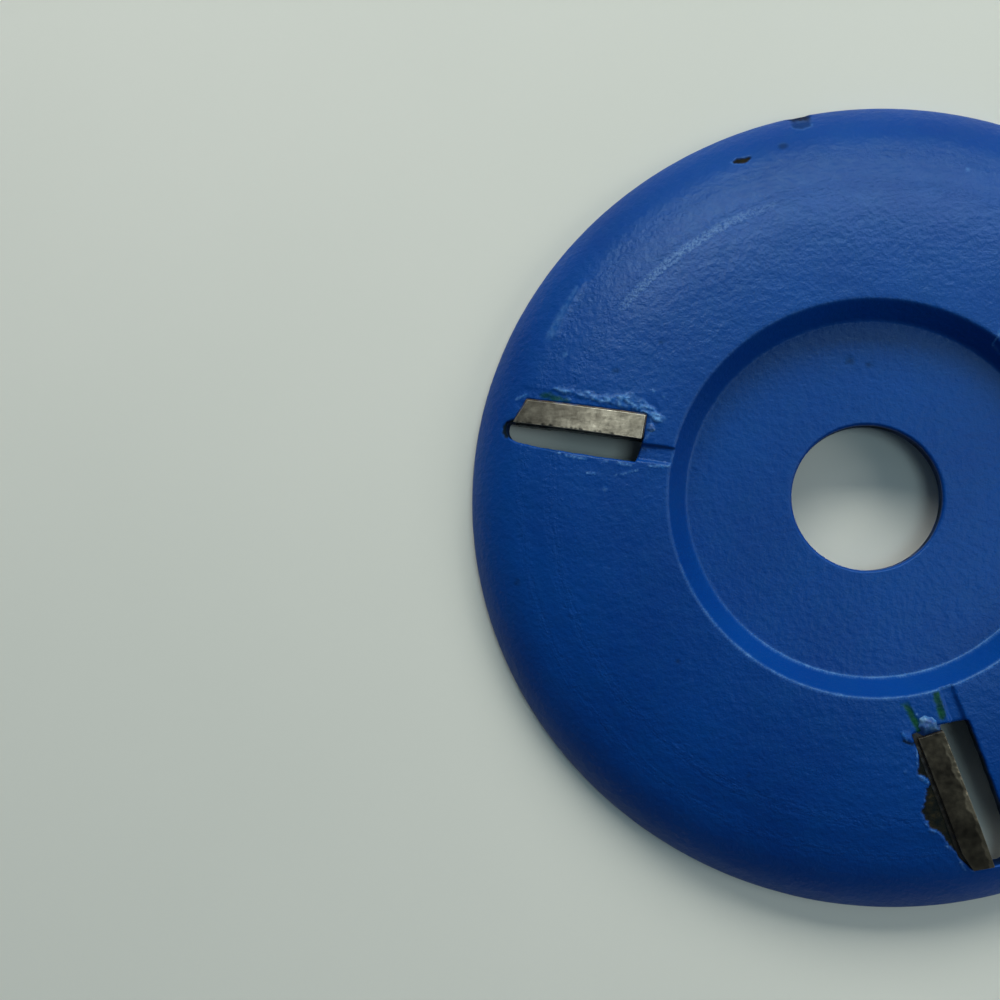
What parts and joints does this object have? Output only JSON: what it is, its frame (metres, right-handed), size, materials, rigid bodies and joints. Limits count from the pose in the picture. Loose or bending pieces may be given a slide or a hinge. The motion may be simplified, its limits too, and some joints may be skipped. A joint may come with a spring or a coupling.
{
  "type": "angle grinder carving disc",
  "caption": "Domed steel carving disc for an angle grinder, painted blue, with brazed carbide cutting tips in slots, a recessed hub and a plain spindle bore.",
  "frame": {"origin": "bore axis at the back face of the hub plate, where the grinder's inner flange seats", "axes": "+Z along the bore axis out of the domed cutting face; the first tip lies near -X; seen from +Z the disc turns counter-clockwise"},
  "size_m": [0.09, 0.09, 0.0084],
  "materials": {
    "blue_paint": "glossy sprayed enamel over steel",
    "carbide": "ground cemented carbide, satin",
    "braze": "dull oxidised braze metal, partly painted over"
  },
  "bodies": {
    "root": {"disc_body": "blue_paint", "carbide_tip_1": "carbide", "carbide_tip_2": "carbide", "carbide_tip_3": "carbide", "braze_joint_1": "braze", "braze_joint_2": "braze", "braze_joint_3": "braze"}
  },
  "joints": []
}
